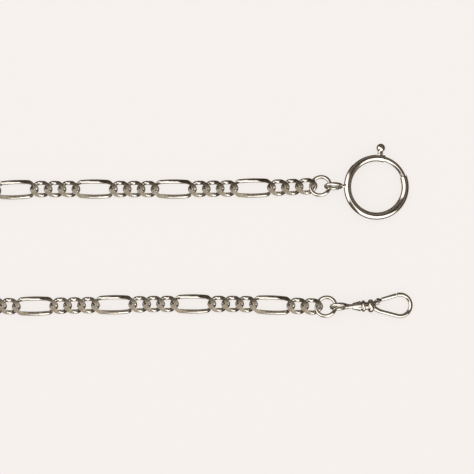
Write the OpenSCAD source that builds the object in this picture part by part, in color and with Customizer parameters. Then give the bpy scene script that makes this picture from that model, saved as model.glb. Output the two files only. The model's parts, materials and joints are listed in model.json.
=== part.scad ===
// Pocket watch chain. Curb links with flat-cut faces, three short ones to each long one,
// carry a spring ring clasp on one end and a swivel snap hook on the other.
// Millimetres, +Z up. The chain lies on z = 0 with the centre of its box over the origin.
// The links are numbered from the spring ring to the swivel hook.

/* [Chain links] */
// Diameter of the wire that the links are bent from
link_wire = 1.25; // [1.1:0.05:1.5]
// Inside width of a short link
short_inside_width = 2.5; // [2.4:0.05:3.1]
// Inside length of a short link
short_inside_length = 4.45; // [4.3:0.05:5.4]
// Inside width of a long link
long_inside_width = 3.1; // [2.6:0.05:3.8]
// Inside length of a long link
long_inside_length = 11.65; // [8:0.05:14]
// Outward bow of a long link's sides
long_bow = 0.15; // [0:0.05:0.4]
// Height of the flat-cut faces above and below the plain wire
face_rise = 0.155; // [0.1:0.005:0.3]
// Twist of each end of a link, in degrees
end_twist = 45; // [40:1:50]
// Length of each end of a link that twists
twist_run = 2.4; // [2:0.1:2.8]
// Twist of a long link's sides before its ends, in degrees
long_side_twist = 15; // [8:1:18]
// Length of each end of a long link that has this first twist
long_side_run = 5; // [3.5:0.1:5.5]
// Running slack between two linked wires
link_slack = 0.2; // [0.15:0.05:0.4]

/* [Jump rings and eyes] */
// Wire diameter of the two jump rings
jump_wire = 1.1; // [0.9:0.05:1.2]
// Outside diameter of the two jump rings
jump_outside = 7.1; // [6.8:0.1:8.5]
// Wire diameter of the two eyes
eye_wire = 1.1; // [0.9:0.05:1.2]
// Outside diameter of the spring ring's eye
ring_eye_outside = 5.8; // [5.4:0.1:6.6]
// Outside diameter of the swivel's eye
swivel_eye_outside = 5.6; // [5.2:0.1:6.4]

/* [Spring ring] */
// Outside diameter of the spring ring
ring_outside = 20; // [16:0.5:24]
// Outside diameter of its tube
tube_outside = 2.2; // [2:0.1:2.8]
// Wall of its tube
tube_wall = 0.3; // [0.2:0.05:0.4]
// Gap all round between the bolt and the tube's bore
bolt_clearance = 0.05; // [0.03:0.01:0.1]
// Ball diameter of the thumb knob
knob_ball = 2.6; // [2:0.1:3.2]
// Stem diameter of the thumb knob
knob_stem = 1.1; // [0.8:0.1:1.2]
// Distance from the tube's centre line to the middle of the ball
knob_reach = 3.1; // [2.8:0.1:4]

/* [Swivel hook] */
// Largest diameter of the barrel, at its second bead
barrel_bead = 4; // [3.4:0.1:4.8]
// Length of the barrel
barrel_length = 6.6; // [6.2:0.1:8]
// Diameter of the eye's shank inside the barrel
shank_d = 1.3; // [1.1:0.05:1.5]
// Radial running clearance of the shank
shank_clearance = 0.05; // [0.03:0.01:0.1]
// Wire diameter of the hook
hook_wire = 1.2; // [1:0.05:1.45]
// Outside width of the hook's round end
hook_width = 7.8; // [7.2:0.1:9.4]
// Length of the hook from the barrel to its tip
hook_length = 11.9; // [11:0.1:14]

/* [Hidden] */
$fn = 48;
link_total = 46;
long_every = 4;

function is_long(i) = i % long_every == 0;
function two_digits(i) = str(i < 10 ? "0" : "", i);
function link_name(i) = str(is_long(i) ? "long_link_" : "short_link_", two_digits(i));

metal = "silver";
spring_steel = "dimgray";

// ---- Links ----
wire_sides = 8;
end_steps = 6;
link_half = link_wire / 2 + face_rise;

function inside_length(i) = is_long(i) ? long_inside_length : short_inside_length;
function inside_width(i) = is_long(i) ? long_inside_width : short_inside_width;
// Half the distance between the joints at the two ends of a link
function half_step(i) = (inside_length(i) - link_slack) / 2;

// Middle line of a link seen from above: two half circles joined by two bowed sides.
function side_steps(i) = is_long(i) ? 9 : 2;
function side_bow(i) = is_long(i) ? long_bow : 0;
function link_outline(i) =
    let (b = (inside_width(i) + link_wire) / 2,
         s = (inside_length(i) + link_wire) / 2 - b,
         n = side_steps(i),
         side = [for (k = [1:n - 1]) [s - 2 * s * k / n, b + side_bow(i) * sin(180 * k / n)]],
         end = [for (k = [0:end_steps]) let (t = -90 + 180 * k / end_steps)
                [s + b * cos(t), b * sin(t)]])
    concat(end, side, -end, -side);

// The wire turns about the link's long axis near each end, one way at both.
function ramp(x, half, run) = sign(x) * sin(90 * max(0, min(1, (abs(x) - half + run) / run)));
function side_twist(i) = is_long(i) ? long_side_twist : 0;
function twist_at(i, x, half) =
    side_twist(i) * ramp(x, half, long_side_run) + (end_twist - side_twist(i)) * ramp(x, half, twist_run);
function link_line(i) =
    let (half = (inside_length(i) + link_wire) / 2)
    [for (p = link_outline(i)) let (t = twist_at(i, p[0], half))
        [p[0], p[1] * cos(t), p[1] * sin(t)]];

function unit(v) = v / norm(v);
function clamp_z(p, h) = [p[0], p[1], max(-h, min(h, p[2]))];
function wire_ring(line, k) =
    let (n = len(line),
         along = unit(line[(k + 1) % n] - line[(k + n - 1) % n]),
         out = unit(cross(along, [0, 0, 1])),
         up = cross(out, along))
    [for (j = [0:wire_sides - 1]) let (f = 360 * (j + 0.5) / wire_sides)
        clamp_z(line[k] + link_wire / 2 * (cos(f) * out + sin(f) * up), link_half)];

// One closed, twisted loop of wire with its top and bottom cut flat.
module curb_link(i) {
    line = link_line(i);
    n = len(line);
    points = [for (k = [0:n - 1]) each wire_ring(line, k)];
    faces = [for (k = [0:n - 1], j = [0:wire_sides - 1])
        let (k2 = (k + 1) % n, j2 = (j + 1) % wire_sides,
             a = k * wire_sides + j, b = k * wire_sides + j2,
             c = k2 * wire_sides + j2, d = k2 * wire_sides + j)
        each [[a, c, b], [a, d, c]]];
    polyhedron(points, faces);
}

// ---- Route of the chain ----
// Degrees by which the chain turns at the near end of some links, chosen by hand.
start_heading = 183;
run_bends = [[3, -2], [8, -1], [16, 2], [32, 3], [39, -1], [43, -2]];
turn_first = 20;
turn_joints = 9;
turn_each = 176 / turn_joints;

function in_turn(i) = i >= turn_first && i < turn_first + turn_joints;
function listed_bend(i) = [for (b = run_bends) if (b[0] == i) b[1]];
function bend(i) = in_turn(i) ? turn_each : len(listed_bend(i)) > 0 ? listed_bend(i)[0] : 0;
function toward(h) = [cos(h), sin(h)];

// Each entry is a link's joint with the link before it, and its heading.
link_places = [for (i = 1, p = [0, 0], h = start_heading; i <= link_total + 1;
                    p = p + 2 * half_step(i) * toward(h), i = i + 1, h = h + bend(i)) [p, h]];
function joint_at(i) = link_places[i - 1][0];
function heading(i) = link_places[i - 1][1];
function link_middle(i) = joint_at(i) + half_step(i) * toward(heading(i));

// ---- Jump rings and eyes ----
// A jump ring leans so that it crosses the twisted end of its link and rises to its eye.
jump_roll = -20;
jump_rise = 16;
end_slack = 0.2;
jump_r = (jump_outside - jump_wire) / 2;
// The leaning jump rings rest on the ground and hold the chain up a little.
jump_drop = jump_r * (norm([sin(jump_rise), sin(jump_roll) * cos(jump_rise)]) - sin(jump_rise));
ground_gap = 0.02;
link_z = ground_gap + max(link_half, jump_drop + jump_wire / 2);
link_bar_x = (link_wire + link_slack) / 2;
jump_bar_x = link_bar_x - (link_wire + jump_wire) / 2 - end_slack;
jump_far_x = jump_bar_x + 2 * jump_r * cos(jump_rise);
function eye_r(outside) = (outside - eye_wire) / 2;
function eye_x(outside) = jump_far_x - (jump_wire + eye_wire) / 2 - end_slack + eye_r(outside);
ring_eye_lean = 75;
swivel_eye_lean = 70;

// Round bar along X
module rod(x, d, length) {
    translate([x, 0, 0]) rotate([0, 90, 0]) cylinder(d = d, h = length);
}

module wire_loop(r, wire) {
    rotate_extrude() translate([r, 0]) circle(d = wire);
}

module jump_ring() {
    translate([jump_bar_x, 0, 0]) rotate([0, -jump_rise, 0]) translate([jump_r, 0, 0])
        rotate([jump_roll, 0, 0]) wire_loop(jump_r, jump_wire);
}

// ---- Spring ring ----
// Its own frame has the ring's centre at the origin and its eye on -X. Angles are in
// degrees round that centre, from +X.
tube_r = (ring_outside - tube_outside) / 2;
tube_bore = tube_outside - 2 * tube_wall;
bolt_d = tube_bore - 2 * bolt_clearance;
gap_from = 22;
gap_to = 75;
knob_at = 84.5;
bolt_travel = 50;
bolt_tip_at = gap_from - 4;
bolt_tail_at = knob_at + 9;
spring_end_at = 172;
stop_length = 8;
spring_gap = 0.5;
spring_coil_d = bolt_d - 0.1;
stem_root = tube_r - bolt_d / 4;
slot_clearance = 0.1;
slot_w = knob_stem + 2 * slot_clearance;
slot_end_gap = 0.225;
slot_spare = asin((knob_stem / 2 + slot_end_gap) / tube_r);
neck_d = 1.2;
neck_length = 0.3;
eye_reach = ring_outside / 2 + neck_length + ring_eye_outside / 2;
ring_tilt = asin((ring_eye_outside - tube_outside) / 2 / (tube_r + eye_reach));
ring_z = tube_outside / 2 + tube_r * sin(ring_tilt);
ring_x = eye_x(ring_eye_outside) + eye_reach * cos(ring_tilt);
ring_heading = -1;

// Part of a ring of round section, from one angle to another.
module ring_arc(d, from, to) {
    rotate([0, 0, from]) rotate_extrude(angle = to - from) translate([tube_r, 0]) circle(d = d);
}

module along_radius(angle) {
    rotate([0, 0, angle]) rotate([0, 90, 0]) children();
}

// ---- Swivel hook ----
// Its own frame has the eye's centre at the origin and the barrel and hook on +X.
eye_to_barrel = 1.46;
barrel_x = swivel_eye_outside / 2 + eye_to_barrel;
barrel_end_x = barrel_x + barrel_length;
tip_wall = 0.3;
cone_d = 3.2;
cone_length = 2.35;
groove_d = 2.7;
bead_1_d = 3.5;
bead_1_wide = 1.05;
bead_1_from_tip = 3.3;
bead_1_x = barrel_x + bead_1_from_tip;
bead_2_wide = 1.7;
bead_2_from_end = 1.05;
bead_2_x = barrel_end_x - bead_2_from_end;
bore_d = shank_d + 2 * shank_clearance;
// The rivet head turns in a chamber that the hook's plug closes.
chamber_from_tip = 2.4;
chamber_x = barrel_x + chamber_from_tip;
head_lip = 0.25;
head_d = shank_d + 2 * head_lip;
head_length = 0.5;
head_gap = 0.05;
head_clearance = 0.1;
chamber_d = head_d + 2 * head_clearance;
plug_length = 1.5;
plug_x = barrel_end_x - plug_length;
swivel_tilt = asin((swivel_eye_outside - barrel_bead) / 2 / bead_2_x);
swivel_z = swivel_eye_outside / 2;
swivel_heading = 1;

hook_r = (hook_width - hook_wire) / 2;
hook_x = barrel_end_x + hook_length - hook_width / 2;
yoke_thick = 1.6;
yoke_root_half = 1.3;
yoke_shoulder = [-0.2, 0.7];
crotch_d = 1.7;
crotch_x = 0.35;
fork_reach = 1.3;
fork_x = barrel_end_x + fork_reach;
fork_y = 1.55;
boss_d = 1.5;
// Straight arm from the fork, tangent to the round end
arm_span = norm([hook_x - fork_x, fork_y]);
arm_angle = asin(hook_r / arm_span) - asin(fork_y / arm_span);
arm_length = sqrt(arm_span * arm_span - hook_r * hook_r);
arm_inset = 0.03;
arm_overlap = 0.15;
nose_gap = 0.12;
nose_short = 2.5;
nose_at = 90 + arm_angle - nose_short;
pin_d = 0.5;
pin_clearance = 0.05;
tang_thick = 0.7;
tang_clearance = 0.06;
tang_d = boss_d - 0.2;
tang_length = 1.25;
heel_length = 0.55;
gate_wire_x = boss_d / 2 + 0.25;
yoke_root = 0.4;
tang_slot_x = barrel_end_x + yoke_root + 0.05;
tang_slot_y = 0.35;
tang_slot_reach = 3;
leaf_thick = 0.15;
leaf_length = 1.3;

// ---- Where the two ends lie ----
function turned(v, h) = [v[0] * cos(h) - v[1] * sin(h), v[0] * sin(h) + v[1] * cos(h)];
ring_end = joint_at(1);
swivel_end = joint_at(link_total + 1);
ring_centre = ring_end + turned([ring_x, 0], ring_heading);
hook_centre = swivel_end + turned([eye_x(swivel_eye_outside) + hook_x, 0], swivel_heading);
middles = [for (i = [1:link_total]) link_middle(i)];
long_outside_half = long_inside_width / 2 + link_wire;
x_low = min([for (m = middles) m[0]]) - long_outside_half;
x_high = hook_centre[0] + hook_width / 2;
y_low = hook_centre[1] - hook_width / 2;
y_high = ring_centre[1] + tube_r + knob_reach + knob_ball / 2;
box_centre = [(x_low + x_high) / 2, (y_low + y_high) / 2];

module place(p, z, h) {
    translate([p[0] - box_centre[0], p[1] - box_centre[1], z]) rotate([0, 0, h]) children();
}

module at_ring() {
    place(ring_end, 0, ring_heading) translate([ring_x, 0, ring_z]) rotate([0, ring_tilt, 0])
        children();
}

module at_swivel() {
    place(swivel_end, 0, swivel_heading) translate([eye_x(swivel_eye_outside), 0, swivel_z])
        rotate([0, swivel_tilt, 0]) children();
}

// ---- Sub-parts ----
module link(i) {
    color(metal) place(link_middle(i), link_z, heading(i)) curb_link(i);
}

module ring_jump_ring() {
    color(metal) place(ring_end, link_z, ring_heading) jump_ring();
}

module ring_eye() {
    color(metal) at_ring() difference() {
        union() {
            translate([-eye_reach, 0, 0]) rotate([ring_eye_lean, 0, 0])
                wire_loop(eye_r(ring_eye_outside), eye_wire);
            rod(-eye_reach + eye_r(ring_eye_outside), neck_d,
                eye_wire / 2 + neck_length + tube_wall);
        }
        wire_loop(tube_r, tube_outside);
    }
}

// The tube is open over the ring's mouth and slotted on its outside for the knob's stem.
module ring_tube() {
    slot_from = knob_at - slot_spare;
    slot_to = knob_at + bolt_travel + slot_spare;
    color(metal) at_ring() difference() {
        ring_arc(tube_outside, gap_to, gap_from + 360);
        wire_loop(tube_r, tube_bore);
        rotate([0, 0, slot_from]) rotate_extrude(angle = slot_to - slot_from)
            translate([tube_r, -slot_w / 2]) square([tube_outside, slot_w]);
    }
}

module ring_bolt() {
    color(metal) at_ring() difference() {
        ring_arc(bolt_d, bolt_tip_at, bolt_tail_at);
        along_radius(knob_at) translate([0, 0, stem_root]) cylinder(d = knob_stem, h = bolt_d);
    }
}

module ring_thumb_knob() {
    color(metal) at_ring() along_radius(knob_at) {
        translate([0, 0, stem_root]) cylinder(d = knob_stem, h = knob_reach);
        translate([0, 0, tube_r + knob_reach]) sphere(d = knob_ball);
    }
}

// Outer shape of the coil spring that pushes the bolt shut.
module ring_spring() {
    color(spring_steel) at_ring() ring_arc(spring_coil_d, bolt_tail_at + spring_gap, spring_end_at);
}

module ring_spring_stop() {
    color(metal) at_ring() ring_arc(tube_bore, spring_end_at, spring_end_at + stop_length);
}

module swivel_jump_ring() {
    color(metal) place(swivel_end, link_z, swivel_heading) jump_ring();
}

// Eye, shank and rivet head in one piece; the shank turns in the barrel.
module swivel_eye() {
    r = eye_r(swivel_eye_outside);
    color(metal) at_swivel() {
        rotate([swivel_eye_lean, 0, 0]) wire_loop(r, eye_wire);
        rod(r, shank_d, chamber_x + head_gap + head_length / 2 - r);
        rod(chamber_x + head_gap, head_d, head_length);
    }
}

module barrel_bead_ring(x, d, wide) {
    translate([x, 0, 0]) rotate([0, 90, 0]) rotate_extrude()
        translate([(d - wide) / 2, 0]) circle(d = wide);
}

module swivel_barrel() {
    color(metal) at_swivel() difference() {
        union() {
            translate([barrel_x, 0, 0]) rotate([0, 90, 0])
                cylinder(d1 = bore_d + 2 * tip_wall, d2 = cone_d, h = cone_length);
            rod(barrel_x + cone_length, groove_d, barrel_length - cone_length);
            barrel_bead_ring(bead_1_x, bead_1_d, bead_1_wide);
            barrel_bead_ring(bead_2_x, barrel_bead, bead_2_wide);
        }
        rod(0, bore_d, barrel_end_x);
        rod(chamber_x, chamber_d, barrel_length);
    }
}

// Flat fork seen from above, with a round boss for each arm.
module yoke_outline() {
    difference() {
        union() {
            for (side = [0, 1]) mirror([0, side])
                polygon([[barrel_end_x, 0], [fork_x, 0], [fork_x, fork_y],
                         [fork_x, fork_y] + yoke_shoulder, [barrel_end_x, yoke_root_half]]);
            for (side = [-1, 1]) translate([fork_x, side * fork_y]) circle(d = boss_d);
        }
        translate([fork_x + crotch_x, 0]) circle(d = crotch_d);
    }
}

module hook_bow() {
    slot = tang_thick + 2 * tang_clearance;
    color(metal) at_swivel() {
        rod(plug_x, chamber_d, plug_length + yoke_root);
        difference() {
            translate([0, 0, -yoke_thick / 2]) linear_extrude(yoke_thick) yoke_outline();
            translate([tang_slot_x, tang_slot_y, -slot / 2])
                cube([tang_slot_reach, tang_slot_reach, slot]);
            translate([fork_x, fork_y, -yoke_thick]) cylinder(d = pin_d, h = 2 * yoke_thick);
        }
        translate([fork_x, -fork_y, 0]) rotate([0, 90, -arm_angle])
            cylinder(d = hook_wire - arm_inset, h = arm_length + arm_overlap);
        translate([hook_x, 0, 0]) rotate([0, 0, -90 - arm_angle])
            rotate_extrude(angle = nose_at + 90 + arm_angle) translate([hook_r, 0])
            circle(d = hook_wire);
    }
}

module hook_gate() {
    color(metal) at_swivel() translate([fork_x, fork_y, 0]) rotate([0, 0, arm_angle]) difference() {
        union() {
            translate([0, 0, -tang_thick / 2]) linear_extrude(tang_thick) {
                circle(d = tang_d);
                translate([-heel_length, -boss_d / 4]) square([heel_length + tang_length, boss_d / 2]);
            }
            rod(gate_wire_x, hook_wire, arm_length - gate_wire_x - nose_gap);
        }
        translate([0, 0, -yoke_thick]) cylinder(d = pin_d + 2 * pin_clearance, h = 2 * yoke_thick);
    }
}

module gate_pin() {
    color(metal) at_swivel() translate([fork_x, fork_y, -yoke_thick / 2])
        cylinder(d = pin_d, h = yoke_thick);
}

// Leaf in the fork's slot that presses the gate's heel.
module gate_spring() {
    color(spring_steel) at_swivel() translate([tang_slot_x, tang_slot_y, -tang_thick / 2])
        cube([leaf_length, leaf_thick, tang_thick]);
}

for (i = [1:link_total]) link(i);
ring_jump_ring();
ring_eye();
ring_tube();
ring_bolt();
ring_thumb_knob();
ring_spring();
ring_spring_stop();
swivel_jump_ring();
swivel_eye();
swivel_barrel();
hook_bow();
hook_gate();
gate_pin();
gate_spring();
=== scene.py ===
import json
import math

import bmesh
import bpy
from mathutils import Matrix, Vector


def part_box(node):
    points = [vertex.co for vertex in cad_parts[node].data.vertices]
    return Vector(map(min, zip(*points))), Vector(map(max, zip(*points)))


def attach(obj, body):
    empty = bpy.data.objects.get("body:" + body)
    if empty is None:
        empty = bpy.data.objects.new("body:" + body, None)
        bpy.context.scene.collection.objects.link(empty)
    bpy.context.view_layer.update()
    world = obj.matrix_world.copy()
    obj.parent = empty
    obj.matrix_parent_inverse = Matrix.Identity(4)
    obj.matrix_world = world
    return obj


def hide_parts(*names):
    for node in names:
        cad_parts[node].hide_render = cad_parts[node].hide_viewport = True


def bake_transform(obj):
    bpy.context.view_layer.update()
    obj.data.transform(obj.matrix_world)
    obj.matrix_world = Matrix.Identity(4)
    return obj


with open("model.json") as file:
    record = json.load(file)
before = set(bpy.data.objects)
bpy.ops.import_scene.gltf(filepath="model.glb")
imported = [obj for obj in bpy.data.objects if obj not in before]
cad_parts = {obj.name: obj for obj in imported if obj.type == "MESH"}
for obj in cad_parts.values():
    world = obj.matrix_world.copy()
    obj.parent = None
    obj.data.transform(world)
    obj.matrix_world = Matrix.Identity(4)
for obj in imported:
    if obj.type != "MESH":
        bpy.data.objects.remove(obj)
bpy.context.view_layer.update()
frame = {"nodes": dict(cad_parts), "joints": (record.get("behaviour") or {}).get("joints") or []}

# ---- Curb links ----
# 46 loops of drawn nickel-silver wire, one long to three short. Each is bent, twisted at both ends,
# soldered shut on one side and linked on, then the whole chain is rolled and its two faces are cut.
# The cut leaves satin faces with bright edges, coloured darker than the real plate as a painted
# reflection; the silver plate between them stays mirror bright.
MM = 0.001
UP = Vector((0, 0, 1))
LINK_TOTAL = 46
LONG_EVERY = 4
LINK_WIRE = 1.25
SHORT_INSIDE = (4.45, 2.5)
LONG_INSIDE = (11.65, 3.1)
LONG_BOW = 0.15
END_TWIST = math.radians(45)
TWIST_RUN = 2.4
LONG_SIDE_TWIST = math.radians(15)
LONG_SIDE_RUN = 5.0
CUT_HALF = 0.8
CUT_DOME = 0.035
CUT_SLACK = 0.004
CUT_FACES_UP = 0.98
BISECTIONS = 24
END_STEPS = 36
SIDE_STEP = 0.2
PLAIN_EDGE = math.radians(8)
FLAT_PARTS = (0.0, 0.06, 0.5, 0.94)
ROUND_PARTS = (0.0, 0.03) + tuple(k / 11 for k in range(1, 11)) + (0.97,)
SEAM_RUN = 0.09
SEAM_RISE = 0.018
WELD = 1e-4
LINE_DEPTH = 0.02
NOISE_SPAN = (0.3, 0.7)

joints = {joint["name"]: joint for joint in frame["joints"]}


def joint_at(name):
    return Vector(joints[name]["pos_m"]) / MM


def joint_axis(name):
    return Vector(joints[name]["axis"])


def axes_at(origin, x_axis, y_axis):
    """Matrix of a frame with its origin in millimetres and its X and Y axes along these."""
    x_axis = x_axis.normalized()
    z_axis = x_axis.cross(y_axis).normalized()
    turn = Matrix((x_axis, z_axis.cross(x_axis), z_axis)).transposed().to_4x4()
    return Matrix.Translation(origin * MM) @ turn


def linear(colour):
    """Linear RGBA of an sRGB hex colour."""
    parts = [int(colour[k : k + 2], 16) / 255 for k in (1, 3, 5)]
    return [c / 12.92 if c <= 0.04045 else ((c + 0.055) / 1.055) ** 2.4 for c in parts] + [1.0]


def node(tree, kind, values=(), links=(), **settings):
    """A new node with its settings, socket values and incoming links."""
    made = tree.nodes.new(kind)
    for name, value in settings.items():
        setattr(made, name, value)
    for socket, value in values:
        made.inputs[socket].default_value = value
    for socket, (source, output) in links:
        tree.links.new(source.outputs[output], made.inputs[socket])
    return made


def per_mm(size):
    """Texture scale that gives features of this size in millimetres."""
    return 1 / (size * MM)


def metal(name, low, high, patch, line, stretch, rough, bump):
    """Bare or plated metal: a patchy tone, polishing lines and the roughness that they leave."""
    made = bpy.data.materials.new(name)
    made.use_nodes = True
    tree = made.node_tree
    tree.nodes.clear()
    place = node(tree, "ShaderNodeTexCoord")
    patches = node(tree, "ShaderNodeTexNoise", [("Scale", per_mm(patch)), ("Detail", 3.0)],
                   [("Vector", (place, "Object"))])
    drawn = node(tree, "ShaderNodeMapping", [("Scale", stretch)], [("Vector", (place, "Object"))])
    lines = node(tree, "ShaderNodeTexNoise", [("Scale", per_mm(line)), ("Detail", 2.0)],
                 [("Vector", (drawn, "Vector"))])
    tone = node(tree, "ShaderNodeValToRGB", links=[("Fac", (patches, "Fac"))])
    for end, position, colour in zip(tone.color_ramp.elements, NOISE_SPAN, (low, high)):
        end.position = position
        end.color = linear(colour)
    half = node(tree, "ShaderNodeMath", [(1, 0.5)], [(0, (patches, "Fac"))], operation="MULTIPLY")
    both = node(tree, "ShaderNodeMath", [(1, 0.5)], [(0, (lines, "Fac")), (2, (half, "Value"))],
                operation="MULTIPLY_ADD")
    gloss = node(tree, "ShaderNodeMapRange",
                 [("From Min", NOISE_SPAN[0]), ("From Max", NOISE_SPAN[1]),
                  ("To Min", rough[0]), ("To Max", rough[1])],
                 [("Value", (both, "Value"))])
    relief = node(tree, "ShaderNodeBump", [("Strength", bump), ("Distance", LINE_DEPTH * MM)],
                  [("Height", (lines, "Fac"))])
    shader = node(tree, "ShaderNodeBsdfPrincipled", [("Metallic", 1.0)],
                  [("Base Color", (tone, "Color")), ("Roughness", (gloss, "Result")),
                   ("Normal", (relief, "Normal"))])
    node(tree, "ShaderNodeOutputMaterial", links=[("Surface", (shader, "BSDF"))])
    return made


# Silver plate on nickel silver, buffed to a mirror and slightly handled: warm, with soft hairlines.
silver_plate = metal("buffed_silver_plate", "#C6C0B6", "#E0DCD5", 1.6, 0.25, (0.25, 1, 1),
                     (0.07, 0.16), 0.12)
# The same plate where the cutting wheel passed: fine lines along the chain blur what it reflects, and its
# colour is painted darker than the real cut plate as a painted reflection of dark surroundings, so the
# flats show as an even warm grey between mirror-bright edges.
cut_plate_painted_dark = metal("wheel_cut_plate_painted_dark", "#6C6356", "#8E8578", 0.9, 0.12, (0.12, 1, 1),
                  (0.2, 0.3), 0.15)


def ring_point(centre, out, up, radius, angle):
    return centre + radius * (math.cos(angle) * out + math.sin(angle) * up)


def wire_axes(path, k, loop, up):
    """Unit vectors across a wire at one point of its path."""
    count = len(path)
    ahead = path[(k + 1) % count] if loop else path[min(k + 1, count - 1)]
    behind = path[(k - 1) % count] if loop else path[max(k - 1, 0)]
    along = (ahead - behind).normalized()
    out = along.cross(up).normalized()
    return out, out.cross(along)


def loft(rings, loop=False):
    """Points and faces of a surface through rings of as many points; open ends are closed."""
    sides = len(rings[0])
    points = [point for ring in rings for point in ring]
    faces = []
    for k in range(len(rings) if loop else len(rings) - 1):
        a = k * sides
        b = (k + 1) % len(rings) * sides
        faces += [(a + j, a + (j + 1) % sides, b + (j + 1) % sides, b + j) for j in range(sides)]
    if not loop:
        faces.append(tuple(range(sides)))
        faces.append(tuple(range(len(points) - sides, len(points))))
    return points, faces


def surfaced(mesh, materials=(silver_plate,), sharp=40):
    """The mesh with only these materials, shaded smooth where it turns less than the sharp angle."""
    mesh.materials.clear()
    for material in materials:
        mesh.materials.append(material)
    mesh.shade_smooth()
    mesh.set_sharp_from_angle(angle=math.radians(sharp))
    return mesh


def clean_mesh(name, points, faces, materials=(silver_plate,), sharp=40):
    """A closed mesh in millimetres with its normals outward."""
    mesh = bpy.data.meshes.new(name)
    mesh.from_pydata([tuple(point) for point in points], [], faces)
    work = bmesh.new()
    work.from_mesh(mesh)
    bmesh.ops.remove_doubles(work, verts=work.verts, dist=WELD)
    bmesh.ops.recalc_face_normals(work, faces=work.faces)
    work.to_mesh(mesh)
    work.free()
    return surfaced(mesh, materials, sharp)


def scaled(mesh):
    """The mesh in metres."""
    mesh.transform(Matrix.Scale(MM, 4))
    return mesh


def add_piece(name, mesh, place, body, *nodes, slot="polished_plate"):
    """Puts a finished mesh in place on its body, where it stands for these nodes."""
    piece = bpy.data.objects.new(name, mesh)
    bpy.context.scene.collection.objects.link(piece)
    piece.matrix_world = place
    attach(piece, body)
    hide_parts(*nodes)
    return piece


def cut_height(y):
    """Height of the cut face above the middle of the chain, slightly domed across it."""
    return CUT_HALF - CUT_DOME * y * y


def ramp(x, half_length, run):
    """Share of a twist that the wire has taken at x: none before the run, all at the link's end."""
    share = min(1, max(0, (abs(x) - half_length + run) / run))
    return math.copysign(math.sin(math.pi / 2 * share), x)


def link_path(inside, bow, side_twist):
    """Middle line of a link's wire: two half circles, two sides, and a twist at each end."""
    half_width = (inside[1] + LINK_WIRE) / 2
    half_length = (inside[0] + LINK_WIRE) / 2
    straight = half_length - half_width
    steps = max(4, round(2 * straight / SIDE_STEP))
    outline = []
    for k in range(END_STEPS + 1):
        turn = math.pi * (k / END_STEPS - 0.5)
        outline.append((straight + half_width * math.cos(turn), half_width * math.sin(turn)))
    for k in range(1, steps):
        rise = bow * math.sin(math.pi * k / steps)
        outline.append((straight - 2 * straight * k / steps, half_width + rise))
    outline += [(-x, -y) for x, y in outline]
    path = []
    for x, y in outline:
        twist = side_twist * ramp(x, half_length, LONG_SIDE_RUN)
        twist += (END_TWIST - side_twist) * ramp(x, half_length, TWIST_RUN)
        path.append(Vector((x, y * math.cos(twist), y * math.sin(twist))))
    return path


def cut_edge(section, top, way):
    """Angle where the wire's surface passes through the cut, looking one way from the top."""
    inside, outside = top, top + way * math.pi
    for _ in range(BISECTIONS):
        middle = (inside + outside) / 2
        point = section(middle)
        if abs(point.z) > cut_height(point.y) and point.z * math.sin(top) > 0:
            inside = middle
        else:
            outside = middle
    return outside


def link_section(section):
    """Points round one section of a link's wire, and whether its top and bottom are cut."""
    edges = []
    cut = []
    for side in (1, -1):
        top = side * math.pi / 2
        highest = section(top)
        is_cut = side * highest.z > cut_height(highest.y)
        before = min(cut_edge(section, top, -1), top - PLAIN_EDGE) if is_cut else top - PLAIN_EDGE
        after = max(cut_edge(section, top, 1), top + PLAIN_EDGE) if is_cut else top + PLAIN_EDGE
        edges.append((before, after))
        cut.append(is_cut)
    points = []
    for k, side in ((0, 1), (1, -1)):
        before, after = edges[k]
        next_edge = edges[1 - k][0] + (2 * math.pi if k == 0 else 0)
        for share in FLAT_PARTS:
            if cut[k]:
                point = section(before).lerp(section(after), share)
                point.z = side * cut_height(point.y) if share else point.z
            else:
                point = section(before + (after - before) * share)
            points.append(point)
        for share in ROUND_PARTS:
            points.append(section(after + (next_edge - after) * share))
    return points, cut


def curb_link_mesh(name, inside, bow, side_twist):
    path = link_path(inside, bow, side_twist)
    rings = []
    cuts = []
    for k, centre in enumerate(path):
        out, up = wire_axes(path, k, True, UP)
        seam = math.exp(-((abs(centre.x) / SEAM_RUN) ** 2)) if centre.y < 0 else 0
        radius = LINK_WIRE / 2 + SEAM_RISE * seam
        ring, cut = link_section(lambda angle: ring_point(centre, out, up, radius, angle))
        rings.append(ring)
        cuts.append(cut)
    points, faces = loft(rings, loop=True)
    mesh = clean_mesh(name, points, faces, (silver_plate, cut_plate_painted_dark), sharp=70)
    # Faces on the cut get the darker material, whose colour is a painted reflection rather than the
    # plate's own tone.
    for face in mesh.polygons:
        middle = face.center
        if abs(face.normal.z) > CUT_FACES_UP and abs(middle.z) > cut_height(middle.y) - CUT_SLACK:
            face.material_index = 1
    return mesh


short_mesh = scaled(curb_link_mesh("short_curb_link", SHORT_INSIDE, 0, 0))
long_mesh = scaled(curb_link_mesh("long_curb_link", LONG_INSIDE, LONG_BOW, LONG_SIDE_TWIST))

link_joints = [f"link_{i:02d}_{'fold' if i % 2 else 'sway'}" for i in range(1, LINK_TOTAL + 1)]
link_joints.append("ring_link_b_fold")
for i in range(1, LINK_TOTAL + 1):
    near, far = joint_at(link_joints[i - 1]), joint_at(link_joints[i])
    kind, mesh = ("long", long_mesh) if i % LONG_EVERY == 0 else ("short", short_mesh)
    place = axes_at((near + far) / 2, far - near, UP.cross(far - near))
    add_piece(f"{kind}_curb_link_{i:02d}", mesh, place, f"link_{i:02d}", f"{kind}_link_{i:02d}")

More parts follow.
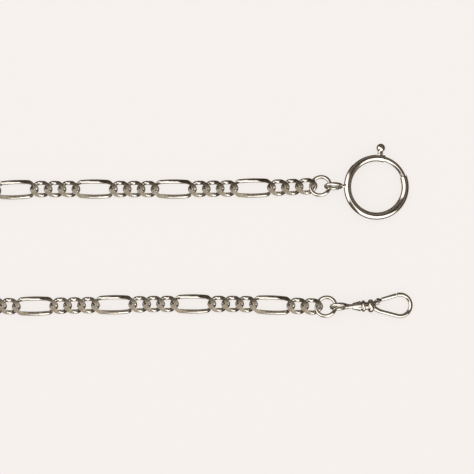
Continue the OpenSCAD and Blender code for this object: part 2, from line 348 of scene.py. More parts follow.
# ---- Jump rings ----
# Two closed rings of round wire, one at each end of the chain. Each is cut from a coil and butted
# shut, so a hairline seam crosses the wire; they lean to pass through the last link and the eye.
JUMP_WIRE = 1.1
JUMP_OUTSIDE = 7.1
JUMP_ROLL = math.radians(-20)
JUMP_RISE = math.radians(16)
JUMP_BAR_X = -0.65
LOOP_STEPS = 96
WIRE_SIDES = 28
BUTT_AT = math.radians(112)
BUTT_CLEAR = 0.06
BUTT_RUN = math.radians(0.6)
BUTT_DEPTH = 0.05


def sweep(path, radii, sides=WIRE_SIDES, loop=False, up=UP):
    """Round wire of these radii along a path; its rings are as many as the path's points."""
    rings = []
    for k, centre in enumerate(path):
        out, raised = wire_axes(path, k, loop, up)
        angles = [2 * math.pi * j / sides for j in range(sides)]
        rings.append([ring_point(centre, out, raised, radii[k], angle) for angle in angles])
    return loft(rings, loop)


def wire_loop(radius, wire, seam=None):
    """A ring of round wire in the XY plane, with an optional butt seam at an angle."""
    turns = [2 * math.pi * k / LOOP_STEPS for k in range(LOOP_STEPS)]
    if seam is not None:
        turns = [t for t in turns if abs(t - seam) > BUTT_CLEAR]
        turns += [seam + BUTT_RUN * step for step in (-2, -1, 0, 1, 2)]
        turns.sort()
    path = [Vector((radius * math.cos(t), radius * math.sin(t), 0)) for t in turns]
    dip = [BUTT_DEPTH if seam is not None and abs(t - seam) < 1e-6 else 0 for t in turns]
    return sweep(path, [wire / 2 - d for d in dip], loop=True)


jump_radius = (JUMP_OUTSIDE - JUMP_WIRE) / 2
jump_lean = (Matrix.Translation((JUMP_BAR_X, 0, 0)) @ Matrix.Rotation(-JUMP_RISE, 4, "Y")
             @ Matrix.Translation((jump_radius, 0, 0)) @ Matrix.Rotation(JUMP_ROLL, 4, "X"))
jump_mesh = clean_mesh("jump_ring", *wire_loop(jump_radius, JUMP_WIRE, seam=BUTT_AT))
jump_mesh.transform(jump_lean)
jump_mesh = scaled(jump_mesh)

across_ring = UP.cross(joint_at("bolt_draw") - joint_at("link_01_fold")).normalized()
across_hook = joint_axis("ring_link_b_fold")
add_piece("ring_end_jump_ring", jump_mesh,
          axes_at(joint_at("link_01_fold"), across_ring.cross(UP), across_ring),
          "ring_link_a", "ring_jump_ring")
add_piece("hook_end_jump_ring", jump_mesh,
          axes_at(joint_at("ring_link_b_fold"), across_hook.cross(UP), across_hook),
          "ring_link_b", "swivel_jump_ring")

# ---- Spring ring tube and eye ----
# The clasp's body is thin sheet rolled into a tube and bent round, so its seam runs along the inside.
# It is open at the mouth, slotted on its outside for the knob, and a wire eye is soldered to it.
RING_OUTSIDE = 20.0
TUBE_OUTSIDE = 2.2
TUBE_WALL = 0.3
MOUTH_FROM = math.radians(22)
MOUTH_TO = math.radians(75)
KNOB_AT = math.radians(84.5)
BOLT_TRAVEL = math.radians(50)
TUBE_SIDES = 48
TUBE_EDGE = 0.03
BORE_PAST = 0.1
SLOT_WIDE = 1.3
SLOT_SPARE = 0.02
SLOT_DEEP = 1.1 * TUBE_OUTSIDE / 2
SLOT_CUTTER = 1.2 * TUBE_OUTSIDE
EYE_WIRE = 1.1
RING_EYE_OUTSIDE = 5.8
RING_EYE_LEAN = math.radians(75)
NECK_LENGTH = 0.3
NECK_INTO_EYE = 0.6 * EYE_WIRE
NECK_INTO_TUBE = 0.28
NECK_R = 0.55
NECK_FLARE = 0.2
NECK_STEPS = 12
ROLL_SEAM_DEEP = 0.06
ROLL_SEAM_WIDE = math.radians(5)
ROLL_SEAM_PARTS = (-0.9, -0.3, 0, 0.3, 0.9)
RING_STEP = math.radians(2.5)

tube_radius = (RING_OUTSIDE - TUBE_OUTSIDE) / 2
tube_bore = TUBE_OUTSIDE - 2 * TUBE_WALL
ring_frame = axes_at(joint_at("bolt_draw"), across_ring.cross(joint_axis("bolt_draw")), across_ring)


def arc_path(radius, start, end, step=RING_STEP):
    count = max(2, math.ceil(abs(end - start) / step))
    turns = [start + (end - start) * k / count for k in range(count + 1)]
    return [Vector((radius * math.cos(t), radius * math.sin(t), 0)) for t in turns]


def modified(mesh, kind, **settings):
    """The mesh as one modifier with these settings leaves it."""
    base = bpy.data.objects.new("base", mesh)
    bpy.context.scene.collection.objects.link(base)
    step = base.modifiers.new("step", kind)
    for name, value in settings.items():
        setattr(step, name, value)
    shapes = bpy.context.evaluated_depsgraph_get()
    result = bpy.data.meshes.new_from_object(base.evaluated_get(shapes))
    result.name = mesh.name
    bpy.data.objects.remove(base)
    return result


def combine(mesh, other, how):
    """One mesh joined with, or cut by, another."""
    tool = bpy.data.objects.new("tool", other)
    bpy.context.scene.collection.objects.link(tool)
    result = modified(mesh, "BOOLEAN", operation=how, object=tool, solver="EXACT")
    bpy.data.objects.remove(tool)
    return result


def broken_edges(mesh, width, sharp=40):
    """The mesh with its sharp edges broken by a small chamfer."""
    result = modified(mesh, "BEVEL", width=width, segments=2, limit_method="ANGLE",
                      angle_limit=math.radians(sharp))
    return surfaced(result, sharp=sharp)


def lathe(profile, steps=64):
    """Turned shape round the X axis from a closed outline of (x, radius) points."""
    rings = []
    for k in range(steps):
        turn = 2 * math.pi * k / steps
        rings.append([Vector((x, r * math.cos(turn), r * math.sin(turn))) for x, r in profile])
    return loft(rings, loop=True)


def tube_section():
    """Angles round the tube and its radius there, with the rolled seam towards the centre."""
    angles = [2 * math.pi * k / TUBE_SIDES for k in range(TUBE_SIDES)]
    angles = [a for a in angles if abs(a - math.pi) > ROLL_SEAM_WIDE]
    angles += [math.pi + ROLL_SEAM_WIDE * share for share in ROLL_SEAM_PARTS]
    angles.sort()
    dips = [ROLL_SEAM_DEEP if abs(a - math.pi) < ROLL_SEAM_WIDE / 9 else 0 for a in angles]
    return [(a, TUBE_OUTSIDE / 2 - dip) for a, dip in zip(angles, dips)]


tube_rings = []
for centre in arc_path(tube_radius, MOUTH_TO, MOUTH_FROM + 2 * math.pi):
    out = centre.normalized()
    tube_rings.append([centre + r * (math.cos(a) * out + math.sin(a) * UP) for a, r in tube_section()])
tube_mesh = clean_mesh("tube", *loft(tube_rings))
bore_path = arc_path(tube_radius, MOUTH_TO - BORE_PAST, MOUTH_FROM + 2 * math.pi + BORE_PAST)
bore_mesh = clean_mesh("bore", *sweep(bore_path, [tube_bore / 2] * len(bore_path), sides=40))
tube_mesh = combine(tube_mesh, bore_mesh, "DIFFERENCE")
slot_from = KNOB_AT - SLOT_SPARE
slot_to = KNOB_AT + BOLT_TRAVEL + SLOT_SPARE
half_slot = SLOT_WIDE / 2
slot_rings = []
for centre in arc_path(tube_radius + TUBE_OUTSIDE / 2, slot_from, slot_to, step=0.02):
    out = centre.normalized()
    corners = ((-SLOT_DEEP, -half_slot), (SLOT_DEEP, -half_slot), (SLOT_DEEP, half_slot),
               (-SLOT_DEEP, half_slot))
    slot_rings.append([centre + a * out + b * UP for a, b in corners])
tube_mesh = combine(tube_mesh, clean_mesh("slot", *loft(slot_rings)), "DIFFERENCE")
for angle in (slot_from, slot_to):
    cutter = [(0, 0), (0, half_slot), (SLOT_CUTTER, half_slot), (SLOT_CUTTER, 0)]
    round_end = clean_mesh("end", *lathe(cutter, steps=32))
    round_end.transform(Matrix.Rotation(angle, 4, "Z") @ Matrix.Translation((tube_radius, 0, 0)))
    tube_mesh = combine(tube_mesh, round_end, "DIFFERENCE")
tube_mesh = broken_edges(tube_mesh, TUBE_EDGE)
add_piece("rolled_tube", scaled(tube_mesh), ring_frame, "spring_ring", "ring_tube")


def flared_neck(start, end, thin, flare):
    """Turned neck that widens at both ends, as solder leaves it."""
    profile = [(start, 0)]
    for k in range(NECK_STEPS + 1):
        share = k / NECK_STEPS
        profile.append((start + (end - start) * share, thin + flare * (2 * share - 1) ** 4))
    return profile + [(end, 0)]


ring_eye_radius = (RING_EYE_OUTSIDE - EYE_WIRE) / 2
eye_reach = RING_OUTSIDE / 2 + NECK_LENGTH + RING_EYE_OUTSIDE / 2
eye_mesh = clean_mesh("eye", *wire_loop(ring_eye_radius, EYE_WIRE))
eye_mesh.transform(Matrix.Translation((-eye_reach, 0, 0)) @ Matrix.Rotation(RING_EYE_LEAN, 4, "X"))
neck = flared_neck(-RING_OUTSIDE / 2 - NECK_LENGTH - NECK_INTO_EYE, -RING_OUTSIDE / 2 + NECK_INTO_TUBE,
                   NECK_R, NECK_FLARE)
eye_mesh = combine(eye_mesh, clean_mesh("neck", *lathe(neck, steps=40)), "UNION")
eye_mesh = surfaced(eye_mesh, sharp=50)
add_piece("soldered_eye", scaled(eye_mesh), ring_frame, "spring_ring", "ring_eye")

# ---- Bolt and thumb knob ----
# A curved bar closes the mouth. It slides in the tube, with a turned knob riveted into it through
# the slot, so a thumbnail can draw it back.
BOLT_WIRE = 1.5
BOLT_TIP = math.radians(18)
BOLT_TAIL = math.radians(93.5)
TIP_SHARES = (0.55, 0.82, 0.95)
KNOB_BALL = 2.6
KNOB_STEM = 1.1
KNOB_FOOT = 1.7
KNOB_NECK = 1.55
KNOB_REACH = 3.1
FOOT_EDGE = 0.06
FOOT_LENGTH = 0.45
BALL_STEPS = 24

bolt_path = arc_path(tube_radius, BOLT_TIP, BOLT_TAIL)
bolt_radii = [BOLT_WIRE / 2] * len(bolt_path)
for k, share in enumerate(TIP_SHARES):
    bolt_radii[k] *= share
bolt_mesh = clean_mesh("bolt", *sweep(bolt_path, bolt_radii, sides=40))
add_piece("sliding_bolt", scaled(bolt_mesh), ring_frame, "bolt", "ring_bolt")

stem_from = tube_radius - BOLT_WIRE / 4
foot_at = tube_radius + TUBE_OUTSIDE / 2
ball_centre = tube_radius + KNOB_REACH
ball_r = KNOB_BALL / 2
ball_from = math.pi - math.asin(KNOB_NECK / KNOB_BALL)
knob_profile = [(stem_from, 0), (stem_from, KNOB_STEM / 2), (foot_at + FOOT_EDGE, KNOB_STEM / 2),
                (foot_at + FOOT_EDGE, KNOB_FOOT / 2 - FOOT_EDGE), (foot_at + 2 * FOOT_EDGE, KNOB_FOOT / 2),
                (foot_at + FOOT_LENGTH, KNOB_FOOT / 2 - FOOT_EDGE)]
for k in range(BALL_STEPS + 1):
    turn = ball_from - ball_from * k / BALL_STEPS
    knob_profile.append((ball_centre + ball_r * math.cos(turn), ball_r * math.sin(turn)))
knob_mesh = clean_mesh("knob", *lathe(knob_profile, steps=48))
knob_mesh.transform(Matrix.Rotation(KNOB_AT, 4, "Z"))
add_piece("thumb_knob", scaled(knob_mesh), ring_frame, "bolt", "ring_thumb_knob")

# ---- Closing spring ----
# Hard-drawn steel wire, coiled and bent round inside the tube between the bolt's tail and a plug.
# It pushes the bolt shut, and its coils close up as the bolt is drawn back.
SPRING_WIRE = 0.22
SPRING_OUTSIDE = 1.4
SPRING_FROM = math.radians(94)
SPRING_TO = math.radians(172)
SPRING_TURNS = 20
TURN_STEPS = 18
SPRING_SIDES = 8

# Drawn spring steel, left bare: greyer and less bright than the plate, with lines along the wire.
spring_steel = metal("drawn_spring_steel", "#6E6C69", "#94918C", 0.8, 0.1, (1, 1, 0.2),
                     (0.22, 0.34), 0.2)
coil_reach = (SPRING_OUTSIDE - SPRING_WIRE) / 2
coil_path = []
for k in range(SPRING_TURNS * TURN_STEPS + 1):
    share = k / (SPRING_TURNS * TURN_STEPS)
    round_ring = SPRING_FROM + (SPRING_TO - SPRING_FROM) * share
    round_coil = 2 * math.pi * k / TURN_STEPS
    out = Vector((math.cos(round_ring), math.sin(round_ring), 0))
    coil_path.append(out * (tube_radius + coil_reach * math.cos(round_coil))
                     + UP * coil_reach * math.sin(round_coil))
coil_rings = []
for k, centre in enumerate(coil_path):
    around = Vector((-centre.y, centre.x, 0)).normalized()
    across, raised = wire_axes(coil_path, k, False, around)
    turns = [2 * math.pi * j / SPRING_SIDES for j in range(SPRING_SIDES)]
    coil_rings.append([ring_point(centre, across, raised, SPRING_WIRE / 2, turn) for turn in turns])
coil_mesh = clean_mesh("coil", *loft(coil_rings), materials=(spring_steel,))
coil = bpy.data.objects.new("closing_spring", scaled(coil_mesh))
bpy.context.scene.collection.objects.link(coil)
coil.matrix_world = ring_frame
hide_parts("ring_spring")
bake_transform(coil)

# ---- Swivel eye ----
# A wire eye forged on a round shank. The shank runs through the barrel's nose and is riveted over
# inside, so the hook turns freely and the chain can't twist.
SWIVEL_EYE_OUTSIDE = 5.6
SWIVEL_EYE_LEAN = math.radians(70)
SHANK = 1.3
HEAD = 1.8
HEAD_LENGTH = 0.5
HEAD_X = 6.71
SHANK_ROOT = 0.3
SHANK_ROOT_R = 0.9
FLARE_FROM = 0.2
FLARE_LENGTH = 1.1
FLARE = 0.22
FLARE_STEPS = 8

swivel_axis = joint_axis("swivel_spin")
swivel_radius = (SWIVEL_EYE_OUTSIDE - EYE_WIRE) / 2
swivel_centre = joint_at("swivel_eye_sway") + swivel_axis * swivel_radius
swivel_frame = axes_at(swivel_centre, swivel_axis, across_hook)
swivel_mesh = clean_mesh("swivel_eye", *wire_loop(swivel_radius, EYE_WIRE))
swivel_mesh.transform(Matrix.Rotation(SWIVEL_EYE_LEAN, 4, "X"))
shank_profile = [(swivel_radius - SHANK_ROOT, 0), (swivel_radius - SHANK_ROOT, SHANK_ROOT_R)]
for k in range(FLARE_STEPS + 1):
    share = k / FLARE_STEPS
    shank_profile.append((swivel_radius + FLARE_FROM + FLARE_LENGTH * share,
                          SHANK / 2 + FLARE * (1 - share) ** 2))
shank_profile += [(HEAD_X, SHANK / 2), (HEAD_X, HEAD / 2), (HEAD_X + HEAD_LENGTH, HEAD / 2),
                  (HEAD_X + HEAD_LENGTH, 0)]
swivel_mesh = combine(swivel_mesh, clean_mesh("shank", *lathe(shank_profile, steps=48)), "UNION")
swivel_mesh = surfaced(swivel_mesh, sharp=45)
add_piece("forged_swivel_eye", scaled(swivel_mesh), swivel_frame, "swivel_eye", "swivel_eye")

# ---- Swivel barrel ----
# Turned from nickel-silver bar: a bored cone, a small bead and a large bead with grooves between,
# polished on the lathe, so its highlights run round it.
BARREL_X = 4.26
BARREL_LENGTH = 6.6
BARREL_EDGE = 0.08
NOSE_FACE_R = 0.94
NOSE_R = 1.02
NOSE_EDGE = 0.06
CONE_LENGTH = 2.35
CONE_FROM_R = 1.0
CONE_GROWTH = 0.6
CONE_CURVE = 1.15
CONE_STEPS = 6
CONE_TO_R = 1.585
CONE_EDGE_R = 1.52
GROOVE_R = 1.35
GROOVE_EDGE = 0.05
BEAD_1 = (7.56, 1.75, 0.525)
BEAD_2 = (9.81, 2.0, 0.85)
BORE_R = 0.7
CHAMBER_X = 6.66
CHAMBER_R = 1.0
PLUG_X = 9.36


def bead(x, radius, half, steps=14):
    """Half-round bead on a turned profile."""
    turns = [math.pi * (1 - k / steps) for k in range(steps + 1)]
    return [(x + half * math.cos(t), radius - half + half * math.sin(t)) for t in turns]


barrel_end = BARREL_X + BARREL_LENGTH
cone_end = BARREL_X + CONE_LENGTH
barrel_profile = [(CHAMBER_X, BORE_R), (BARREL_X + BARREL_EDGE, BORE_R), (BARREL_X, BORE_R + BARREL_EDGE),
                  (BARREL_X, NOSE_FACE_R), (BARREL_X + NOSE_EDGE, NOSE_R)]
for k in range(1, CONE_STEPS):
    cone_r = CONE_FROM_R + CONE_GROWTH * (k / CONE_STEPS) ** CONE_CURVE
    barrel_profile.append((BARREL_X + CONE_LENGTH * k / CONE_STEPS, cone_r))
barrel_profile += [(cone_end - BARREL_EDGE, CONE_TO_R), (cone_end, CONE_EDGE_R),
                   (cone_end + GROOVE_EDGE, GROOVE_R)]
barrel_profile += bead(*BEAD_1) + bead(*BEAD_2)
barrel_profile += [(barrel_end - BARREL_EDGE, GROOVE_R), (barrel_end, GROOVE_R - BARREL_EDGE),
                   (barrel_end, CHAMBER_R), (CHAMBER_X, CHAMBER_R)]
barrel_mesh = clean_mesh("barrel", *lathe(barrel_profile, steps=72))
add_piece("turned_barrel", scaled(barrel_mesh), swivel_frame, "swivel_hook", "swivel_barrel")

# ---- Hook bow ----
# The hook's fixed half, forged in one piece: a plug pressed into the barrel, a slotted post for the
# gate, and a round arm that runs out and back round the end to a blunt nose, where the gate closes.
HOOK_WIRE = 1.2
HOOK_RADIUS = 3.3
HOOK_X = 18.86
FORK_X = 12.16
FORK_Y = 1.55
ARM_ANGLE = math.radians(15.65)
ARM_LENGTH = 6.033
NOSE_AT = math.radians(103.15)
YOKE_THICK = 1.6
ROOT_SINK = 0.2
ROOT_Y = 0.42
ROOT_R = 0.74
ROOT_STEPS = 12
PLUG_SLACK = 0.01
COLLAR_R = 1.22
COLLAR_EDGE = 0.1
COLLAR_WIDE = 0.3
COLLAR_END = (0.45, 0.6)
BEND_BACK = 0.5
BEND_AHEAD = 1.1
ARM_STEPS = 12
END_ARC_STEPS = 72
NOSE_SHARE = 0.95
BOSS = 1.5
POST_EDGE = 0.12
PIN = 0.5
TANG_THICK = 0.7
TANG_SLOT = (11.31, 0.35, 3.0, 0.82)


def plate(outline, thick, edge=0.0):
    """Flat plate of this outline, with its edges broken by this much."""
    half = thick / 2
    layers = [(-half, outline), (half, outline)]
    if edge:
        inset = []
        for k, here in enumerate(outline):
            along = (outline[(k + 1) % len(outline)] - outline[k - 1]).normalized()
            inset.append(here + Vector((-along.y, along.x)) * edge)
        layers = [(-half, inset), (-half + edge, outline), (half - edge, outline), (half, inset)]
    return loft([[Vector((p.x, p.y, z)) for p in shape] for z, shape in layers])


def knuckle(centre, radius, half, edge):
    """Short round post across the hook, with broken edges."""
    profile = [(-half, 0), (-half, radius - edge), (-half + edge, radius), (half - edge, radius),
               (half, radius - edge), (half, 0)]
    points, faces = lathe(profile, 40)
    stand = Matrix.Translation(centre) @ Matrix.Rotation(math.pi / 2, 4, "Y")
    return [stand @ point for point in points], faces


# The root swells from the plug into two rounded arms that part just past the barrel.
arm_along = Vector((math.cos(ARM_ANGLE), -math.sin(ARM_ANGLE), 0))
arm_start = Vector((FORK_X, -FORK_Y, 0))
root_start = Vector((barrel_end - ROOT_SINK, -ROOT_Y, 0))
bend = arm_start - arm_along * BEND_BACK
straight_from = arm_start + arm_along * BEND_AHEAD
bow_path = []
bow_radii = []
for k in range(ROOT_STEPS + 1):
    t = k / ROOT_STEPS
    bow_path.append((1 - t) ** 2 * root_start + 2 * t * (1 - t) * bend + t * t * straight_from)
    bow_radii.append(ROOT_R + (HOOK_WIRE / 2 - ROOT_R) * t)
straight_to = arm_start + arm_along * ARM_LENGTH
bow_path += [straight_from.lerp(straight_to, k / ARM_STEPS) for k in range(1, ARM_STEPS)]
end_from = -math.pi / 2 - ARM_ANGLE
for k in range(END_ARC_STEPS + 1):
    turn = end_from + (NOSE_AT - end_from) * k / END_ARC_STEPS
    bow_path.append(Vector((HOOK_X + HOOK_RADIUS * math.cos(turn), HOOK_RADIUS * math.sin(turn), 0)))
bow_radii += [HOOK_WIRE / 2] * (len(bow_path) - len(bow_radii))
bow_radii[-1] *= NOSE_SHARE
bow_mesh = clean_mesh("bow", *sweep(bow_path, bow_radii, sides=32))

cheek_path = [Vector((root_start.x, ROOT_Y, 0)), Vector((FORK_X, FORK_Y, 0))]
fork_mesh = clean_mesh("cheeks", *sweep(cheek_path, [ROOT_R, ROOT_R], sides=32))
post = knuckle((FORK_X, FORK_Y, 0), BOSS / 2, YOKE_THICK / 2, POST_EDGE)
fork_mesh = combine(fork_mesh, clean_mesh("post", *post), "UNION")
slot_x, slot_y, slot_reach, slot_wide = TANG_SLOT
slot_box = [Vector((slot_x, slot_y)), Vector((slot_x + slot_reach, slot_y)),
            Vector((slot_x + slot_reach, slot_y + slot_reach)), Vector((slot_x, slot_y + slot_reach))]
fork_mesh = combine(fork_mesh, clean_mesh("slot", *plate(slot_box, slot_wide)), "DIFFERENCE")
pin_hole = clean_mesh("hole", *knuckle((FORK_X, FORK_Y, 0), PIN / 2, YOKE_THICK, edge=0))
fork_mesh = combine(fork_mesh, pin_hole, "DIFFERENCE")
collar_to, collar_foot = COLLAR_END
plug = [(PLUG_X, 0), (PLUG_X, CHAMBER_R - PLUG_SLACK), (barrel_end, CHAMBER_R - PLUG_SLACK),
        (barrel_end, COLLAR_R - COLLAR_EDGE), (barrel_end + COLLAR_EDGE, COLLAR_R),
        (barrel_end + COLLAR_WIDE, COLLAR_R - COLLAR_EDGE), (barrel_end + collar_to, collar_foot),
        (barrel_end + collar_to, 0)]
fork_mesh = combine(fork_mesh, clean_mesh("plug", *lathe(plug, steps=48)), "UNION")
bow_mesh = surfaced(combine(bow_mesh, fork_mesh, "UNION"), sharp=35)
add_piece("forged_hook_bow", scaled(bow_mesh), swivel_frame, "swivel_hook", "hook_bow")

# ---- Gate, pin and leaf ----
# The gate is a straight round bar with a flat tang that turns on a pin riveted through the fork.
# A steel leaf in the fork's slot presses its heel and holds it shut against the nose.
TANG_R = 0.65
TANG_LENGTH = 1.25
HEEL_LENGTH = 0.55
TANG_EDGE = 0.05
TANG_CHEEK = 35
TANG_STEPS = 12
GATE_X = 1.0
GATE_NECK_R = 0.42
GATE_SHOULDER = (0.1, 0.54)
GATE_FULL = 0.28
GATE_EDGE = 0.05
NOSE_GAP = 0.12
PIN_CLEARANCE = 0.05
RIVET_RISE = 0.06
RIVET_R = 0.4 * PIN
LEAF = (1.3, 0.15)
LEAF_BEND = 0.06
LEAF_STEPS = 10


def round_tang(start, end):
    """Arc of the tang's round end, between two angles in degrees."""
    turns = [math.radians(start + (end - start) * k / TANG_STEPS) for k in range(TANG_STEPS + 1)]
    return [Vector((TANG_R * math.cos(t), TANG_R * math.sin(t))) for t in turns]


gate_end = ARM_LENGTH - NOSE_GAP
gate_turn = Matrix.Translation((FORK_X, FORK_Y, 0)) @ Matrix.Rotation(ARM_ANGLE, 4, "Z")
shoulder_x, shoulder_r = GATE_SHOULDER
gate_profile = [(GATE_X, 0), (GATE_X, GATE_NECK_R), (GATE_X + shoulder_x, shoulder_r),
                (GATE_X + GATE_FULL, HOOK_WIRE / 2), (gate_end - GATE_EDGE, HOOK_WIRE / 2),
                (gate_end, HOOK_WIRE / 2 - GATE_EDGE), (gate_end, 0)]
gate_mesh = clean_mesh("gate", *lathe(gate_profile, steps=40))
half_tang = BOSS / 4
tang_outline = round_tang(TANG_CHEEK, 180 - TANG_CHEEK)
tang_outline += [Vector((-HEEL_LENGTH, half_tang)), Vector((-HEEL_LENGTH, -half_tang))]
tang_outline += round_tang(180 + TANG_CHEEK, 360 - TANG_CHEEK)
tang_outline += [Vector((TANG_LENGTH, -half_tang)), Vector((TANG_LENGTH, half_tang))]
tang_mesh = clean_mesh("tang", *plate(tang_outline, TANG_THICK, TANG_EDGE))
hole_r = PIN / 2 + PIN_CLEARANCE
tang_hole = clean_mesh("hole", *lathe([(-1, 0), (-1, hole_r), (1, hole_r), (1, 0)], steps=32))
tang_hole.transform(Matrix.Rotation(math.pi / 2, 4, "Y"))
tang_mesh = combine(tang_mesh, tang_hole, "DIFFERENCE")
gate_mesh = combine(gate_mesh, tang_mesh, "UNION")
gate_mesh.transform(gate_turn)
gate_mesh = surfaced(gate_mesh, sharp=35)
add_piece("spring_gate", scaled(gate_mesh), swivel_frame, "gate", "hook_gate")

half_yoke = YOKE_THICK / 2
pin_profile = [(-half_yoke - RIVET_RISE, 0), (-half_yoke - RIVET_RISE / 2, RIVET_R),
               (-half_yoke, PIN / 2), (half_yoke, PIN / 2), (half_yoke + RIVET_RISE / 2, RIVET_R),
               (half_yoke + RIVET_RISE, 0)]
pin_mesh = clean_mesh("pin", *lathe(pin_profile, steps=32), materials=(spring_steel,))
pin_mesh.transform(Matrix.Translation((FORK_X, FORK_Y, 0)) @ Matrix.Rotation(math.pi / 2, 4, "Y"))
add_piece("riveted_pin", scaled(pin_mesh), swivel_frame, "swivel_hook", "gate_pin",
          slot="spring_steel")

leaf_length, leaf_thick = LEAF
leaf_line = [(leaf_length * k / LEAF_STEPS, LEAF_BEND * (k / LEAF_STEPS) ** 2)
             for k in range(LEAF_STEPS + 1)]
leaf_outline = [Vector((slot_x + x, slot_y + y)) for x, y in leaf_line]
leaf_outline += [Vector((slot_x + x, slot_y + y + leaf_thick)) for x, y in reversed(leaf_line)]
leaf_mesh = clean_mesh("leaf", *plate(leaf_outline, TANG_THICK), materials=(spring_steel,))
add_piece("leaf_spring", scaled(leaf_mesh), swivel_frame, "swivel_hook", "gate_spring",
          slot="spring_steel")

# ---- Spring plug ----
# A short length of bar pressed into the tube behind the spring, of the same plated metal. The tube
# hides it, so the model's own solid is shown as it is.
stop_mesh = frame["nodes"]["ring_spring_stop"].data
stop_mesh.materials.clear()
stop_mesh.materials.append(silver_plate)

# ---- Table, light and camera ----
# The chain lies on pale matt paper that glows a little, so its shadows stay faint. The polished plate
# mirrors a dim brown room with two soft bright windows, one to the left and one on the near side,
# and that is what gives it its dark lines; everything else sees only an even pale backdrop.
TABLE_SIZE = 6.0
PAPER = "#F6F1ED"
PAPER_BASE = "#646464"
PAPER_GLOW = 0.85
HORIZON = (-0.05, 0.12)
WINDOW_EDGE = 0.14
WINDOW_SOFT = 0.14
WINDOW_LIGHT = "#FFFCF8"
WINDOW_STRENGTH = 2.1
ROOM_DIM = "#352D25"
ROOM_GREY = "#90867A"
FLOOR_LINE = 0.1
WALL_LINE = 0.6
LAMP_SIZE = 0.5
LAMP_POWER = 1.05
LAMP_BACK = 200
LAMP_HEIGHT = 700
CAMERA_LENS = 135
CAMERA_SENSOR = 36
CAMERA_HEIGHT = 545.0
RING_TO_VIEW = Vector((-42.6, -15.2, 0))

table_mesh = bpy.data.meshes.new("table")
half = TABLE_SIZE / 2
table_mesh.from_pydata([(-half, -half, 0), (half, -half, 0), (half, half, 0), (-half, half, 0)], [],
                       [(0, 1, 2, 3)])
table = bpy.data.objects.new("table", table_mesh)
bpy.context.scene.collection.objects.link(table)
table.visible_glossy = False
paper = bpy.data.materials.new("matt_paper")
paper.use_nodes = True
paper_shader = paper.node_tree.nodes["Principled BSDF"]
paper_shader.inputs["Base Color"].default_value = linear(PAPER_BASE)
paper_shader.inputs["Roughness"].default_value = 1.0
paper_shader.inputs["Specular IOR Level"].default_value = 0.0
paper_shader.inputs["Emission Color"].default_value = linear(PAPER)
paper_shader.inputs["Emission Strength"].default_value = PAPER_GLOW
table_mesh.materials.append(paper)

world = bpy.data.worlds.new("studio")
world.use_nodes = True
bpy.context.scene.world = world
tree = world.node_tree
tree.nodes.clear()
place = node(tree, "ShaderNodeTexCoord")
axes = node(tree, "ShaderNodeSeparateXYZ", links=[("Vector", (place, "Generated"))])
above = node(tree, "ShaderNodeMapRange", [("From Min", HORIZON[0]), ("From Max", HORIZON[1])],
             [("Value", (axes, "Z"))], interpolation_type="SMOOTHSTEP")


def window(away, across, reach, lean, spread):
    """Panel of light that starts near overhead and widens towards the horizon on one side."""
    near = node(tree, "ShaderNodeMapRange", [("From Min", reach), ("From Max", reach - WINDOW_SOFT)],
                [("Value", (axes, away))], interpolation_type="SMOOTHSTEP")
    shift = node(tree, "ShaderNodeMath", [(1, lean)], [(0, (axes, away)), (2, (axes, across))],
                 operation="MULTIPLY_ADD")
    aside = node(tree, "ShaderNodeMath", links=[(0, (shift, "Value"))], operation="ABSOLUTE")
    out = node(tree, "ShaderNodeMath", links=[(0, (axes, away))], operation="ABSOLUTE")
    past = node(tree, "ShaderNodeMath", [(1, -spread)], [(0, (out, "Value")), (2, (aside, "Value"))],
                operation="MULTIPLY_ADD")
    within = node(tree, "ShaderNodeMapRange",
                  [("From Min", WINDOW_EDGE), ("From Max", WINDOW_EDGE - WINDOW_SOFT)],
                  [("Value", (past, "Value"))], interpolation_type="SMOOTHSTEP")
    return node(tree, "ShaderNodeMath", links=[(0, (near, "Result")), (1, (within, "Result"))],
                operation="MULTIPLY")


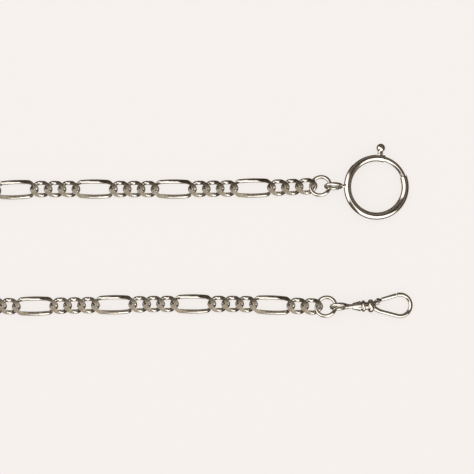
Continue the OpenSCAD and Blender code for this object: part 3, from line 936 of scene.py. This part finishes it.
left = window("X", "Y", reach=0.14, lean=0.0, spread=0.52)
near_side = window("Y", "X", reach=0.03, lean=0.3, spread=0.72)
either = node(tree, "ShaderNodeMath", links=[(0, (left, "Value")), (1, (near_side, "Value"))],
              operation="MAXIMUM")
lit = node(tree, "ShaderNodeMath", links=[(0, (either, "Value")), (1, (above, "Result"))],
           operation="MULTIPLY")
height = node(tree, "ShaderNodeMath", links=[(0, (axes, "Z"))], operation="ABSOLUTE")
dim = node(tree, "ShaderNodeValToRGB", links=[("Fac", (height, "Value"))])
dim.color_ramp.interpolation = "EASE"
dim.color_ramp.elements[0].position = FLOOR_LINE
dim.color_ramp.elements[0].color = linear(ROOM_DIM)
dim.color_ramp.elements[1].position = 1.0
dim.color_ramp.elements[1].color = linear(ROOM_DIM)
grey_wall = dim.color_ramp.elements.new(WALL_LINE)
grey_wall.color = linear(ROOM_GREY)
dim_room = node(tree, "ShaderNodeBackground", [("Strength", 1.0)], [("Color", (dim, "Color"))])
bright = node(tree, "ShaderNodeBackground",
              [("Color", linear(WINDOW_LIGHT)), ("Strength", WINDOW_STRENGTH)])
room = node(tree, "ShaderNodeMixShader", links=[("Fac", (lit, "Value")), (1, (dim_room, "Background")),
                                                (2, (bright, "Background"))])
backdrop = node(tree, "ShaderNodeBackground", [("Color", linear(PAPER)), ("Strength", 1.0)])
path_kind = node(tree, "ShaderNodeLightPath")
seen = node(tree, "ShaderNodeMixShader", links=[("Fac", (path_kind, "Is Glossy Ray")),
                                                (1, (backdrop, "Background")), (2, (room, "Shader"))])
node(tree, "ShaderNodeOutputWorld", links=[("Surface", (seen, "Shader"))])

lamp_data = bpy.data.lights.new("overhead_softbox", "AREA")
lamp_data.shape = "SQUARE"
lamp_data.size = LAMP_SIZE
lamp_data.energy = LAMP_POWER
lamp = bpy.data.objects.new("overhead_softbox", lamp_data)
bpy.context.scene.collection.objects.link(lamp)
lamp.visible_glossy = False
lamp.visible_camera = False

tube_low, tube_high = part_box("ring_tube")
view_centre = (tube_low + tube_high) / 2 / MM + RING_TO_VIEW
lamp.location = Vector((view_centre.x, view_centre.y + LAMP_BACK, LAMP_HEIGHT)) * MM
lamp.rotation_euler = (math.atan2(-LAMP_BACK, LAMP_HEIGHT), 0, 0)

camera_data = bpy.data.cameras.new("camera")
camera_data.lens = CAMERA_LENS
camera_data.sensor_width = CAMERA_SENSOR
camera_data.clip_start = 0.01
camera = bpy.data.objects.new("camera", camera_data)
bpy.context.scene.collection.objects.link(camera)
camera.location = Vector((view_centre.x, view_centre.y, CAMERA_HEIGHT)) * MM
bpy.context.scene.camera = camera
bpy.context.scene.view_settings.view_transform = "Standard"
